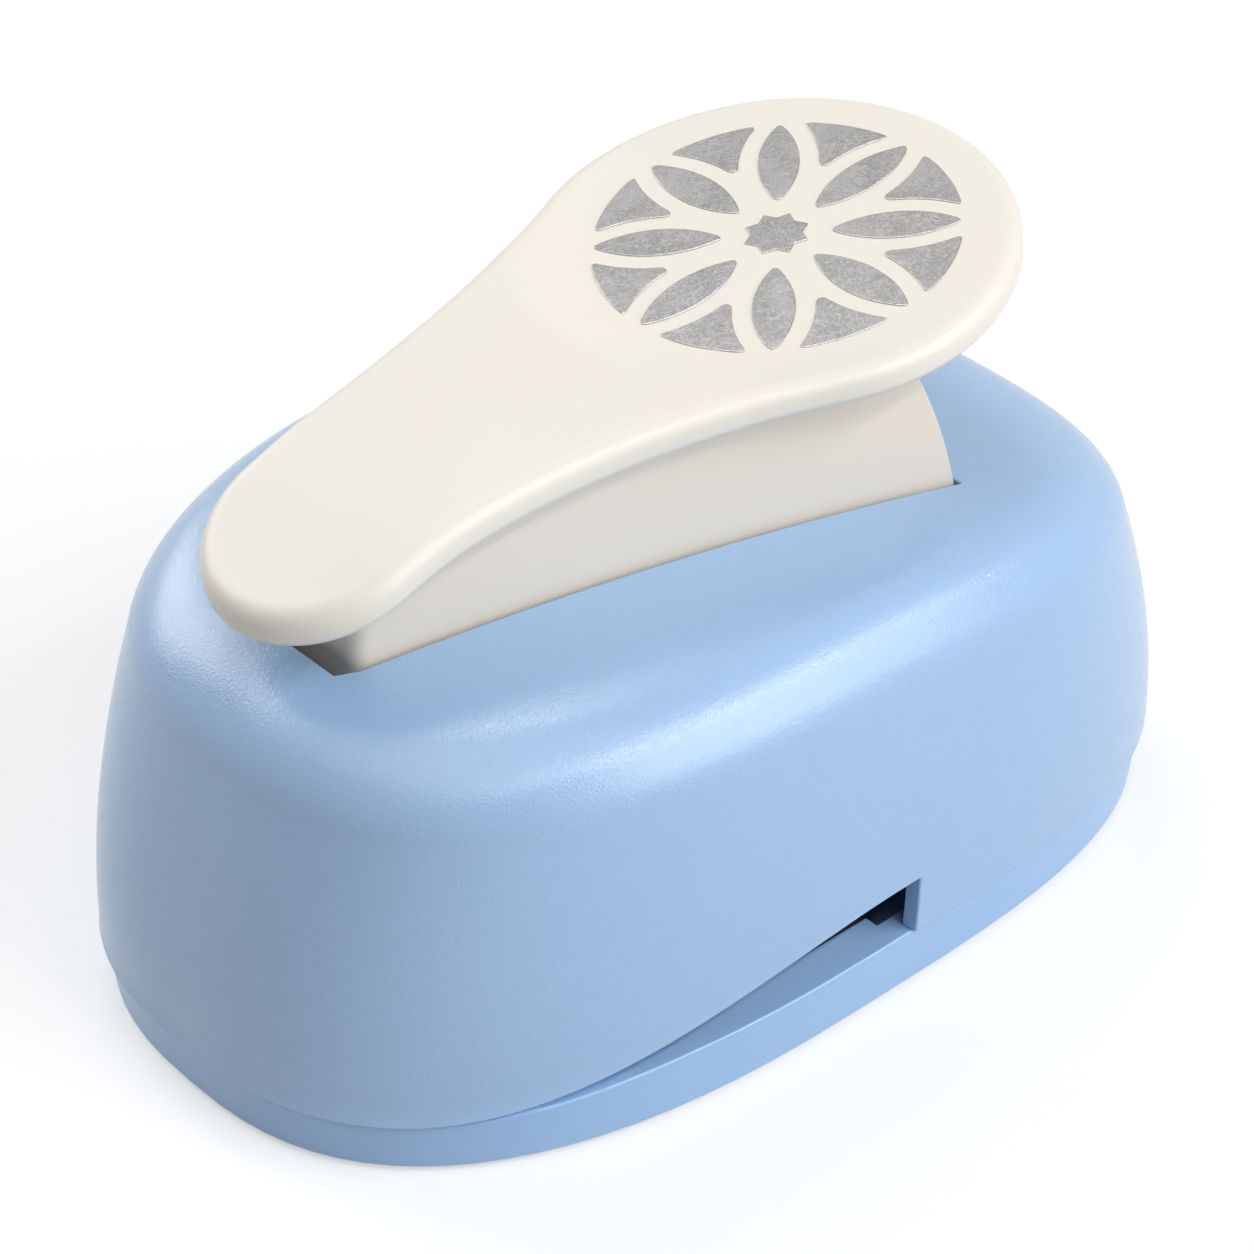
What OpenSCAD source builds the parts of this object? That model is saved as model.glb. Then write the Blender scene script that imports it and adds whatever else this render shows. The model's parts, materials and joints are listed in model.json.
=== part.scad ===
// Embossing craft punch: palm lever, moulded housing, steel die set and spring-returned punch.
// Millimetres. X runs from the lever's narrow front end (-X) to its paddle (+X), Z is up.

/* [Body] */
// Length of the housing
body_l = 151; // [148:1:160]
// Width of the housing
body_w = 97.6; // [95:0.2:106]
// Roundness of the front end in plan, 2 is an ellipse
front_power = 2.55; // [2.5:0.05:2.9]
// Roundness of the rear end in plan
rear_power = 3.25; // [2.8:0.05:3.5]
// Height of the housing top at the middle
top_z = 60.3; // [58:0.1:63]
// Fall of the top towards the rear, mm per mm
top_fall = 0.021; // [0.01:0.001:0.05]
// Lengthwise crown of the top, per mm
top_crown = 0.0011; // [0.0004:0.0001:0.0012]
// How far the end walls lean in by the shoulder
end_lean = 8.3; // [5:0.1:9]
// Outward bow of the side walls
side_bow = 4.2; // [2:0.1:5]
// Share of the wall's height where the sides are widest
bow_at = 0.36; // [0.2:0.02:0.5]
// Radius of the shoulder between walls and top
shoulder_r = 11.8; // [9:0.1:14]
// Thickness of the housing wall
wall_t = 2.5; // [2:0.1:3]

/* [Base] */
// Height of the base's top shelf
base_z = 10.2; // [9.4:0.1:10.6]
// Step back of the base's top from the housing's lower edge
base_inset = 0.5; // [0.4:0.1:1]
// How much narrower the base is at its floor, per side
base_draft = 0.9; // [0.4:0.1:1.2]
// How far the housing's front lip hangs below the shelf
lip_drop = 1.8; // [1:0.1:2.4]
// Width of the base's rim
rim_w = 4; // [3:0.1:4.4]
// Thickness of the base's rear floor
floor_t = 2.4; // [2:0.1:3]
// Height that the rubber feet stand out
foot_t = 0.8; // [0.5:0.1:1.2]
// Radius of a rubber foot
foot_r = 5; // [4:0.2:6]

/* [Paper slot] */
// Gap for paper and card between the two plates
paper_gap = 1.2; // [0.8:0.1:1.4]
// Height of the side mouth above the shelf, at the throat
mouth_h = 9.4; // [7:0.1:10]
// Place of the throat, where the housing comes down to the base
throat_x = 7.2; // [6.8:0.1:9]
// Place where the mouth starts to rise
mouth_x = -66; // [-72:1:-56]

/* [Lever] */
// Place of the lever pivot along the body
pivot_x = -45; // [-45.4:0.1:-44.8]
// Height of the lever pivot
pivot_z = 42; // [41.5:0.1:42.4]
// Upward tilt of the lever at rest, degrees
lever_tilt = 10.1; // [9:0.1:11]
// Height of the lever's top face over the pivot
lever_h = 30.9; // [29.5:0.1:33]
// Distance from the pivot to the middle of the rosette
rosette_u = 77.4; // [74:0.2:79]
// Radius of the round paddle
paddle_r = 32; // [30:0.2:35]
// Radius of the narrow end
tail_r = 15.5; // [15:0.1:17]
// Distance between the centres of paddle and narrow end
lever_len = 74; // [72:0.5:75]
// Radius of the hollow sides of the waist
waist_r = 150; // [110:5:200]
// Height of the arch of the lever's neck
arch_h = 4.8; // [3:0.1:5.2]
// Distance from the pivot to the top of the arch
arch_u = 14.6; // [12:0.2:17]
// Thickness of the lever plate
plate_t = 5; // [4.4:0.1:6]
// Rounding of the lever's upper rim
rim_round = 2.2; // [1.5:0.1:2.4]
// Angle of a full press, degrees
press_angle = 12; // [10:0.5:12]

/* [Skirt] */
// Front face of the skirt
skirt_front = -50.6; // [-51.2:0.2:-50]
// Half width of the skirt at the middle of the body
skirt_mid = 19.8; // [19.6:0.1:20]
// Widening of the skirt towards the rear, per side
skirt_taper = 0.235; // [0.23:0.001:0.238]
// Radius of the skirt's rear wall about the pivot
skirt_r = 79; // [77:0.2:80]
// Lower edge of the skirt
skirt_low = 50.6; // [49.5:0.1:51]
// Thickness of the skirt walls
skirt_t = 2.2; // [1.8:0.1:2.4]
// Radius of the skirt's front corners
nose_r = 2.6; // [2.5:0.1:3.2]

/* [Rosette] */
// Radius of the rosette, on the paddle and in the die
rosette_r = 24; // [22.5:0.1:24.2]
// Height that the foil stands proud of the lever
foil_rise = 0.15; // [0.1:0.01:0.25]
// Depth of the recess under the foil
foil_seat = 0.3; // [0.2:0.05:0.4]

/* [Die set] */
// Place of the die's centre
die_x = -24; // [-24.2:0.1:-23.9]
// Thickness of the die plate
die_t = 4; // [3.4:0.1:4.4]
// Thickness of the guide plate
guide_t = 4; // [3.6:0.1:4]
// Radius of the embossing plate
emboss_r = 26; // [25.6:0.1:26.4]
// Diameter of the guide posts
post_d = 5; // [4:0.2:5.4]
// Distance of the posts from the centre line
post_y = 33; // [32.6:0.1:33.4]
// Wire diameter of the return springs
wire_d = 1.2; // [0.9:0.1:1.3]
// Turns of a return spring
spring_turns = 5.5; // [4.5:0.5:6]
// Diameter of the pivot pin
pivot_d = 6; // [5:0.1:6.2]
// Diameter of the press pin
press_d = 5; // [4.4:0.1:5.2]

/* [Fits] */
// Gap between the skirt's sides and the lever slot
slot_gap = 0.8; // [0.6:0.05:1]
// Gap between the skirt's rear wall and the lever slot
rear_gap = 0.5; // [0.4:0.05:0.8]
// Radial clearance of running fits
run_fit = 0.05; // [0.03:0.01:0.08]
// Radial clearance of fixed fits
fix_fit = 0.02; // [0.01:0.01:0.05]
// Clearance around the cutting teeth
tooth_fit = 0.06; // [0.04:0.01:0.1]
// Clearance around plates in their pockets
seat_fit = 0.2; // [0.15:0.05:0.3]

/* [Hidden] */
$fn = 64;

blue = "#8FAFDC";
ivory = "#EFEBD8";
steel = "#B9BCC0";
dark_steel = "#85898F";
zinc = "#9DA1A6";
brass = "#C8A75A";
rubber = "#2B2B2D";
foil = "#D5D7DA";

// housing skin
plan_n = 88;
lean_a = 10;
edge_a = 78;
top_bow = 0.4;
lean_power = 1.8;
side_tuck = side_bow * bow_at * bow_at;
lip_z = base_z - lip_drop;
lip_gap = 0.25;
mouth_ease = 0.85;
slot_nose = 2.4;
slot_tuck = 1.2;
slot_bend = 0.6;

// heights of the die set, from the base up
seat_z = base_z - die_t;
slot_top = base_z + paper_gap;
guide_top = slot_top + guide_t;

// punch: stroke follows the lever at the press pin
press_arm = die_x - pivot_x;
stroke = press_arm * press_angle * PI / 180;
emboss_t = 2;
card_gap = 0.3;
tooth_reach = 2.4;
emboss_z = base_z + card_gap + stroke;
tooth_tip = emboss_z - tooth_reach;
block_z = emboss_z + emboss_t;
block_r = emboss_r - 1.5;
park_gap = 0.9;
carrier_z = guide_top + stroke + park_gap;
carrier_t = 12;
carrier_top = carrier_z + carrier_t;
carrier_r = emboss_r + 1;
ear_r = 7;
seat_top = carrier_z + 8;
press_z = pivot_z - 2;
cheek_in = 5.5;
cheek_t = 3;
wear_t = 1;
pin_gap = 0.1;
wear_top = press_z - press_d / 2 - pin_gap;
tower_l = 17;
tower_w = 2 * cheek_in - 1;
bush_r = post_d / 2 + 1.5;
spring_r = post_d / 2 + 2.1;
pocket_r = spring_r + wire_d / 2 + 0.9;

// plates
plate_front = -(body_l / 2 - 22.5);
plate_rear = 4.5;
plate_hw = body_w / 2 - 7.3;
plate_corner = 18;
tongue_hw = 24;
tongue_rear = 26;
spacer_front = throat_x + 1.1;
die_bolts = [[14, 16], [22, 16], [14, -16], [22, -16]];
bolt_r = 2;

// bead pressed around the rosette
bead_r = emboss_r - 0.7;
bead_w = 0.8;
bead_h = 0.5;

// pivot
leg_in = 19;
leg_t = 3.5;
leg_w = 6.8;
hub_r = 6.5;
hub_hw = 17.5;
lug_t = 2.5;
lug_w = 9;
lug_bolt = [pivot_x - 1.2, 27];
pin_bush_r = pivot_d / 2 + 1.5;
pin_bush_l = 7.8;
flange_t = 0.8;

// housing screws, one pair at the sides and one at the rear
side_boss = [26, body_w / 2 - 8.8];
rear_boss = [body_l / 2 - 11, 20];
boss_r = 4.2;
boss_top = 30;
screw_r = 1.4;
screw_head_r = 2.7;
screw_head_h = 1.5;
screw_sink = 1.6;
screw_grip = 11;

// lever plate
plate_low = lever_h - plate_t;
under_rim = 2.6;
under_z = lever_h - 2.7;
paddle_u = rosette_u - 1;
tail_u = paddle_u - lever_len;
waist_u = -(pow(paddle_r + waist_r, 2) - pow(tail_r + waist_r, 2) + lever_len * lever_len) / (2 * lever_len);
waist_v = sqrt(pow(paddle_r + waist_r, 2) - waist_u * waist_u);
low_round = 1.5;
tip_n = 22;
arch_front = 34;
arch_rear = 77;
arch_sink = 2;
dish_w = 10.5;
seat_rim = 0.4;
peg_r = 2.5;
peg_l = 6;
pegs = [[16, 0], [50, 9], [50, -9]];

// plan outline of the housing, set in by ix at the ends and iy at the sides
function signed_pow(v, e) = sign(v) * pow(abs(v), e);
function plan_power(t) = 2 / (cos(t) < 0 ? front_power : rear_power);
function plan_xy(ix, iy, t) =
    [(body_l / 2 - ix) * signed_pow(cos(t), plan_power(t)),
        (body_w / 2 - iy) * signed_pow(sin(t), plan_power(t))];
function plan(d) = [for (i = [0:plan_n - 1]) plan_xy(d, d + side_tuck, 360 * i / plan_n)];

// rise or fall of the top along the body
function fall(x) = -top_fall * x - top_crown * x * x;

// one ring of the skin, and one ring of its top drawn in to a share s of the plan
function wall_ring(ix, iy, z) = [for (i = [0:plan_n - 1])
    let (p = plan_xy(ix, iy, 360 * i / plan_n))
    [p.x, p.y, z + (z - lip_z) / (top_z - lip_z) * fall(p.x)]];
function top_ring(ix, iy, z, s) = [for (i = [0:plan_n - 1])
    let (p = s * plan_xy(ix, iy, 360 * i / plan_n))
    [p.x, p.y, z + (z - lip_z) / (top_z - lip_z) * fall(p.x) + top_bow * (1 - s * s)]];

// all rings of one side of the skin, set in by d
function wall_end(d) = top_z - d - (shoulder_r - d) * (sin(edge_a) - sin(lean_a));
function curl(d, g) = (shoulder_r - d) * (cos(lean_a) - cos(g));
function end_in(t) = end_lean * pow(t, lean_power);
function side_in(t) = side_bow * pow(t - bow_at, 2);
function lift(d, g) = (shoulder_r - d) * (sin(g) - sin(lean_a));
function skin_rings(d, walls, turns, caps) = concat(
    [for (i = [0:walls]) let (t = i / walls)
        wall_ring(d + end_in(t), d + side_in(t), lip_z + t * (wall_end(d) - lip_z))],
    [for (i = [1:turns]) let (g = lean_a + i * (edge_a - lean_a) / turns)
        wall_ring(d + end_lean + curl(d, g), d + side_in(1) + curl(d, g), wall_end(d) + lift(d, g))],
    [for (i = [1:caps])
        top_ring(d + end_lean + curl(d, edge_a), d + side_in(1) + curl(d, edge_a), top_z - d,
            1 - i / (caps + 1))]);

// triangles between rings of n points, wound one way or the other
function ring_faces(n, count, start, out) = [for (j = [0:count - 2], i = [0:n - 1], h = [0, 1])
    let (a = start + j * n + i, b = start + j * n + (i + 1) % n, c = b + n, d = a + n)
    let (f = h == 0 ? [a, c, b] : [a, d, c])
    out ? f : [f[2], f[1], f[0]]];
function fan_faces(n, start, tip, out) = [for (i = [0:n - 1])
    out ? [start + i, tip, start + (i + 1) % n] : [start + (i + 1) % n, tip, start + i]];

// triangles across a mirrored loop of n points, from its tip row by row with the given spans
function cross_point(n, start, inner, spans, k, j) =
    k == 0 || k == n / 2 || j == 0 ? start + tip_n + k
    : j == spans ? start + (tip_n - k + n) % n
    : inner + (k - 1) * (spans - 1) + j - 1;
function ladder_faces(n, start, inner, spans, out) = [
    for (k = [0:n / 2 - 1], j = [0:spans - 1], h = [0, 1])
    let (a = cross_point(n, start, inner, spans, k, j), b = cross_point(n, start, inner, spans, k, j + 1),
        c = cross_point(n, start, inner, spans, k + 1, j + 1),
        d = cross_point(n, start, inner, spans, k + 1, j))
    let (f = h == 0 ? [a, b, c] : [a, c, d])
    if (f[0] != f[1] && f[1] != f[2] && f[2] != f[0]) out ? f : [f[2], f[1], f[0]]];

// lower edge of the housing along the paper mouth
function mouth(x) = let (s = pow(min(1, max(0, (x - mouth_x) / (throat_x - mouth_x))), mouth_ease))
    lip_z + (mouth_h + lip_drop) * (1 - cos(180 * s)) / 2;
function mouth_edge(g, steps) = concat([[-body_l, lip_z - g]],
    [for (i = [0:steps]) let (x = mouth_x + (throat_x - mouth_x) * i / steps) [x, mouth(x) - g]]);

// spoon outline of the lever, set in by d
function arc(c, r, a0, a1, n) = [for (i = [0:n]) let (a = a0 + (a1 - a0) * i / n) c + r * [cos(a), sin(a)]];
waist_a = atan2(waist_v, waist_u);
waist_b = atan2(waist_v, waist_u + lever_len);
function lever_outline(d) = concat(
    arc([0, 0], paddle_r - d, -waist_a, waist_a, 2 * tip_n),
    arc([waist_u, waist_v], waist_r + d, waist_a + 180 - 1, waist_b + 180 + 1, 9),
    arc([-lever_len, 0], tail_r - d, waist_b, 360 - waist_b, 22),
    arc([waist_u, -waist_v], waist_r + d, 180 - waist_b - 1, 180 - waist_a + 1, 9));

// arch of the neck, and its share outside the flat seat of the rosette
function arch(u) = let (d = u - arch_u)
    arch_h * (1 + cos(180 * min(1, abs(d) / (d < 0 ? arch_front : arch_rear)))) / 2;
function ease(s) = let (c = min(1, max(0, s))) c * c * (3 - 2 * c);
function dish(u, v) = arch(u) * ease((norm([u - rosette_u, v]) - rosette_r - seat_rim) / dish_w);

// underside of the lever's deck
function under(u) = under_z + max(0, arch(u) - arch_sink);

// plan of the skirt, grown by g, with its front face at xf and corners of radius rc
function skirt_hw(x, g) = skirt_mid + skirt_taper * x + g * sqrt(1 + skirt_taper * skirt_taper);
function skirt_side(xf, g, rc) = let (cx = xf + rc)
    arc([cx, skirt_hw(cx, g - rc)], rc, 180, 90 + atan(skirt_taper), 8);
function skirt_plan(xf, g, rc, xr) = let (side = skirt_side(xf, g, rc))
    concat(side, [[xr, skirt_hw(xr, g)], [xr, -skirt_hw(xr, g)]],
        [for (i = [len(side) - 1:-1:0]) [side[i].x, -side[i].y]]);

// points of a round wire wound round Z
function wire_ring(r, wr, z0, pitch, a, n) = [for (k = [0:n - 1])
    let (q = 360 * k / n, rr = r + wr * cos(q))
    [rr * cos(a), rr * sin(a), z0 + pitch * a / 360 + wr * sin(q)]];

// frame of the lever: pivot at the origin, tilted as at rest
module lever_axes() {
    translate([pivot_x, 0, pivot_z]) rotate([0, -lever_tilt, 0]) children();
}

// round bar along Y at a point of the side view
module cross_bar(x, z, r, l) {
    translate([x, 0, z]) rotate([90, 0, 0]) cylinder(r = r, h = l, center = true);
}

module mirrored() {
    children();
    mirror([0, 1, 0]) children();
}

module at_posts() {
    for (y = [-post_y, post_y]) translate([die_x, y, 0]) children();
}

module at_bosses() {
    for (p = [side_boss, rear_boss], s = [-1, 1]) translate([p.x, s * p.y, 0]) children();
}

// everything in the lever's frame that is more than w below the underside of the deck
module below_deck(w) {
    steps = 40;
    rotate([90, 0, 0]) linear_extrude(140, center = true)
        polygon(concat([[160, -60], [160, under_z - w]],
            [for (i = [steps:-1:0]) let (u = arch_u - arch_front + (arch_rear + arch_front) * i / steps)
                [u, under(u) - w]],
            [[-60, under_z - w], [-60, -60]]));
}

// rosette of eight petals, eight corner pieces and a star, grown by g
module petal(g) {
    intersection() {
        translate([0.64 * rosette_r, -0.5035 * rosette_r]) circle(r = 0.619 * rosette_r + g);
        translate([0.64 * rosette_r, 0.5035 * rosette_r]) circle(r = 0.619 * rosette_r + g);
        circle(r = 0.985 * rosette_r + g);
    }
}

module corner_piece(g) {
    difference() {
        intersection() {
            circle(r = rosette_r + g);
            polygon([[0.55, 0], [1.2, 0.45], [1.2, -0.45]] * rosette_r);
        }
        circle(r = 0.63 * rosette_r - g);
        for (s = [-1, 1]) rotate(s * 22.5) translate([0.64 * rosette_r, s * 0.5035 * rosette_r])
            circle(r = 0.724 * rosette_r - g);
    }
}

module star(g) {
    polygon([for (i = [0:15])
        ((i % 2 == 0 ? 0.135 : 0.18) * rosette_r + g) * [cos(22.5 * i), sin(22.5 * i)]]);
}

module rosette(g) {
    for (k = [0:7]) rotate(45 * k) petal(g);
    for (k = [0:7]) rotate(45 * k + 22.5) corner_piece(g);
    star(g);
}

// outline of die and guide plate: rounded front, tongue at the rear
module plate_outline(g) {
    translate([plate_front + plate_corner, -plate_hw - g])
        square([plate_rear - plate_front - plate_corner + g, 2 * (plate_hw + g)]);
    translate([plate_front - g, -(plate_hw - plate_corner)])
        square([plate_corner + 1, 2 * (plate_hw - plate_corner)]);
    for (s = [-1, 1]) translate([plate_front + plate_corner, s * (plate_hw - plate_corner)])
        circle(r = plate_corner + g);
    translate([0, -tongue_hw - g]) square([tongue_rear + g, 2 * (tongue_hw + g)]);
}

// housing
module skin() {
    outer = skin_rings(0, 7, 7, 3);
    inner = skin_rings(wall_t, 3, 4, 1);
    no = len(outer) * plan_n;
    ni = len(inner) * plan_n;
    points = concat([for (r = outer) each r], [[0, 0, top_z + top_bow]],
        [for (r = inner) each r], [[0, 0, top_z - wall_t + top_bow]]);
    faces = concat(ring_faces(plan_n, len(outer), 0, true), fan_faces(plan_n, no - plan_n, no, true),
        ring_faces(plan_n, len(inner), no + 1, false),
        fan_faces(plan_n, no + 1 + ni - plan_n, no + 1 + ni, false),
        [for (i = [0:plan_n - 1], h = [0, 1])
            let (a = i, b = (i + 1) % plan_n, c = no + 1 + b, d = no + 1 + a)
            h == 0 ? [a, b, c] : [a, c, d]]);
    polyhedron(points = points, faces = faces);
}

module housing_bosses() {
    at_bosses() translate([0, 0, base_z]) cylinder(r = boss_r, h = boss_top - base_z);
    mirrored() translate([side_boss.x - 1.3, side_boss.y, base_z])
        cube([2.6, body_w / 2 - 2.3 - side_boss.y, boss_top - base_z]);
    mirrored() translate([rear_boss.x, rear_boss.y - 1.3, base_z])
        cube([body_l / 2 - 4.5 - rear_boss.x, 2.6, boss_top - base_z]);
}

module paper_mouth() {
    rotate([90, 0, 0]) linear_extrude(body_w + 20, center = true)
        polygon(concat([[-body_l, 0]], mouth_edge(0, 24),
            [[throat_x, base_z], [body_l, base_z], [body_l, 0]]));
}

module lever_slot() {
    intersection() {
        translate([0, 0, skirt_low - 3]) linear_extrude(30)
            skirt_slot_plan();
        cross_bar(pivot_x, pivot_z, skirt_r + rear_gap, 90);
    }
}

module skirt_slot_plan() {
    x0 = skirt_front - slot_nose;
    x1 = skirt_front + slot_bend;
    x2 = pivot_x + skirt_r + 4;
    side = [[x0, skirt_hw(x0, slot_gap) - slot_tuck],
        [x1, skirt_hw(x1, slot_gap)],
        [x2, skirt_hw(x2, slot_gap)]];
    polygon(concat(side, [for (i = [2:-1:0]) [side[i].x, -side[i].y]]));
}

module upper_housing() {
    color(blue) difference() {
        union() {
            skin();
            housing_bosses();
        }
        paper_mouth();
        lever_slot();
        at_bosses() translate([0, 0, base_z - 1]) cylinder(r = screw_r + fix_fit, h = screw_grip + 4);
    }
}

// base
module base_hollow() {
    difference() {
        intersection() {
            translate([0, 0, foot_t + floor_t]) linear_extrude(base_z) polygon(plan(base_inset + rim_w));
            translate([plate_rear + seat_fit - 0.1, -body_w, 0]) cube([body_l, 2 * body_w, 2 * base_z]);
        }
        translate([0, -tongue_hw - 4, 0]) cube([tongue_rear + 4, 2 * tongue_hw + 8, 2 * base_z]);
        at_bosses() cylinder(r = boss_r + 0.8, h = 2 * base_z);
    }
}

// step in the base's rim under the housing's front lip
module lip_rebate() {
    difference() {
        rotate([90, 0, 0]) linear_extrude(body_w + 20, center = true)
            polygon(concat([[-body_l, 2 * base_z]], mouth_edge(lip_gap, 24), [[throat_x, 2 * base_z]]));
        linear_extrude(3 * base_z) polygon(plan(wall_t + lip_gap));
    }
}

// drafted block of the base, narrower at its floor
module base_block() {
    low = [for (p = plan(base_inset + base_draft)) [p.x, p.y, foot_t]];
    high = [for (p = plan(base_inset)) [p.x, p.y, base_z]];
    n = len(low);
    polyhedron(points = concat(low, high),
        faces = concat(ring_faces(n, 2, 0, true),
            [[for (i = [0:n - 1]) i]], [[for (i = [n - 1:-1:0]) n + i]]));
}

module base_tray() {
    color(blue) difference() {
        base_block();
        translate([0, 0, seat_z]) linear_extrude(base_z) plate_outline(seat_fit);
        base_hollow();
        lip_rebate();
        translate([die_x, 0, -1]) cylinder(r = emboss_r + 1, h = 2 * base_z);
        at_bosses() cylinder(r = screw_r + 0.3, h = 2 * base_z);
        at_bosses() translate([0, 0, foot_t - 1]) cylinder(r = screw_head_r + 0.3, h = screw_sink + 1);
        for (p = die_bolts) translate([p.x, p.y, foot_t + 1]) cylinder(r = bolt_r + fix_fit, h = base_z);
        at_feet() translate([0, 0, foot_t - 1]) cylinder(r = foot_r + fix_fit, h = 1.5);
    }
}

module at_feet() {
    for (s = [-1, 1]) {
        translate([-(body_l / 2 - 21), s * (body_w / 2 - 21), 0]) children();
        translate([body_l / 2 - 22, s * (body_w / 2 - 17), 0]) children();
    }
}

module base_feet() {
    color(rubber) at_feet() cylinder(r = foot_r, h = foot_t + 0.5);
}

module housing_screws() {
    color(dark_steel) at_bosses() {
        difference() {
            translate([0, 0, foot_t + screw_sink - screw_head_h])
                cylinder(r = screw_head_r, h = screw_head_h);
            translate([0, 0, foot_t]) linear_extrude(1) {
                square([3.2, 0.7], center = true);
                square([0.7, 3.2], center = true);
            }
        }
        translate([0, 0, foot_t + screw_sink])
            cylinder(r = screw_r, h = base_z + screw_grip - foot_t - screw_sink);
    }
}

// die set
module bolt_holes(r, h) {
    for (p = die_bolts) translate([p.x, p.y, -1]) cylinder(r = r, h = h + 2);
}

module die_plate() {
    color(steel) translate([0, 0, seat_z]) difference() {
        linear_extrude(die_t) plate_outline(0);
        translate([die_x, 0, -1]) linear_extrude(die_t + 2) rosette(tooth_fit);
        translate([die_x, 0, die_t - bead_h - 0.1]) difference() {
            cylinder(r = bead_r + bead_w / 2 + 0.3, h = 2);
            translate([0, 0, -1]) cylinder(r = bead_r - bead_w / 2 - 0.3, h = 4);
        }
        bolt_holes(bolt_r + fix_fit, die_t);
    }
}

module throat_spacer() {
    color(steel) translate([0, 0, base_z]) difference() {
        translate([spacer_front, -tongue_hw, 0]) cube([tongue_rear - spacer_front, 2 * tongue_hw, paper_gap]);
        bolt_holes(bolt_r + fix_fit, paper_gap);
    }
}

module guide_plate() {
    color(steel) translate([0, 0, slot_top]) difference() {
        linear_extrude(guide_t) plate_outline(0);
        translate([die_x, 0, -1]) cylinder(r = emboss_r + 0.2, h = guide_t + 2);
        at_posts() translate([0, 0, -1]) cylinder(d = post_d + 2 * fix_fit, h = guide_t + 2);
        bolt_holes(bolt_r + fix_fit, guide_t);
        mirrored() translate([lug_bolt.x, lug_bolt.y, 0.6]) cylinder(r = bolt_r + fix_fit, h = guide_t);
    }
}

module socket_screw(head_r, head_h, shank_r, shank_l) {
    difference() {
        cylinder(r = head_r, h = head_h);
        translate([0, 0, head_h * 0.45]) cylinder(r = shank_r * 0.7, h = head_h, $fn = 6);
    }
    translate([0, 0, -shank_l]) cylinder(r = shank_r, h = shank_l);
}

module die_screws() {
    color(dark_steel) for (p = die_bolts) translate([p.x, p.y, guide_top])
        socket_screw(3.4, 2.2, bolt_r, guide_top - foot_t - 1.5);
}

module guide_posts() {
    color(steel) at_posts() translate([0, 0, slot_top + 0.2])
        cylinder(d = post_d, h = carrier_top + 4 - slot_top);
}

module post_clips() {
    color(dark_steel) at_posts() translate([0, 0, carrier_top + 1.4]) difference() {
        cylinder(r = post_d / 2 + 1.8, h = 1);
        translate([0, 0, -1]) cylinder(d = post_d + 2 * fix_fit, h = 3);
    }
}

module return_springs() {
    turn_n = 10;
    side_n = 6;
    rings = ceil(spring_turns * turn_n);
    wr = wire_d / 2;
    z0 = guide_top + wr + 0.05;
    pitch = (seat_top - guide_top - wire_d - 0.1) / spring_turns;
    points = [for (i = [0:rings])
        each wire_ring(spring_r, wr, z0, pitch, 360 * spring_turns * i / rings, side_n)];
    faces = concat([for (i = [0:rings - 1], k = [0:side_n - 1], h = [0, 1])
            let (a = i * side_n + k, b = i * side_n + (k + 1) % side_n, c = b + side_n, d = a + side_n)
            h == 0 ? [a, c, b] : [a, d, c]],
        [[for (k = [0:side_n - 1]) k]], [[for (k = [side_n - 1:-1:0]) rings * side_n + k]]);
    color(dark_steel) at_posts() polyhedron(points = points, faces = faces);
}

// pivot
module bracket() {
    difference() {
        union() {
            translate([pivot_x - hub_r, leg_in, guide_top]) cube([leg_w, leg_t, pivot_z - guide_top]);
            translate([pivot_x, leg_in + leg_t / 2, pivot_z]) rotate([90, 0, 0])
                cylinder(r = hub_r, h = leg_t, center = true);
            translate([pivot_x - 5, leg_in + leg_t - 0.5, guide_top]) cube([7.2, lug_w, lug_t]);
        }
        cross_bar(pivot_x, pivot_z, pivot_d / 2 + fix_fit, 60);
        translate([lug_bolt.x, lug_bolt.y, 0]) cylinder(r = bolt_r + fix_fit, h = 2 * guide_top);
    }
}

module pivot_brackets() {
    color(steel) mirrored() bracket();
}

module bracket_screws() {
    color(dark_steel) mirrored() translate([lug_bolt.x, lug_bolt.y, guide_top + lug_t])
        socket_screw(3.2, 2.2, bolt_r, lug_t + guide_t - 0.7);
}

module pivot_pin() {
    color(dark_steel) cross_bar(pivot_x, pivot_z, pivot_d / 2, 2 * (leg_in + leg_t + 2.2));
}

module pin_clips() {
    color(dark_steel) mirrored() translate([pivot_x, leg_in + leg_t + 0.6, pivot_z]) rotate([90, 0, 0])
        difference() {
            cylinder(r = pivot_d / 2 + 2, h = 1, center = true);
            cylinder(r = pivot_d / 2 + fix_fit, h = 3, center = true);
        }
}

// punch
carrier_bolts = [for (a = [35, 145, 215, 325]) 17.5 * [cos(a), sin(a)]];
carrier_bolt_r = 1.75;
head_r = 2.9;
head_h = 2.6;
head_sink = 3.4;
tangent_a = acos((carrier_r - ear_r) / post_y);
function tangent(r, y, s) = [s * r * sin(tangent_a), y + r * cos(tangent_a)];

module carrier_plan() {
    circle(r = carrier_r);
    for (m = [0, 1]) mirror([0, m, 0]) {
        translate([0, post_y]) circle(r = ear_r);
        polygon([tangent(carrier_r, 0, 1), tangent(ear_r, post_y, 1), tangent(ear_r, post_y, -1),
            tangent(carrier_r, 0, -1)]);
    }
}

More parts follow.
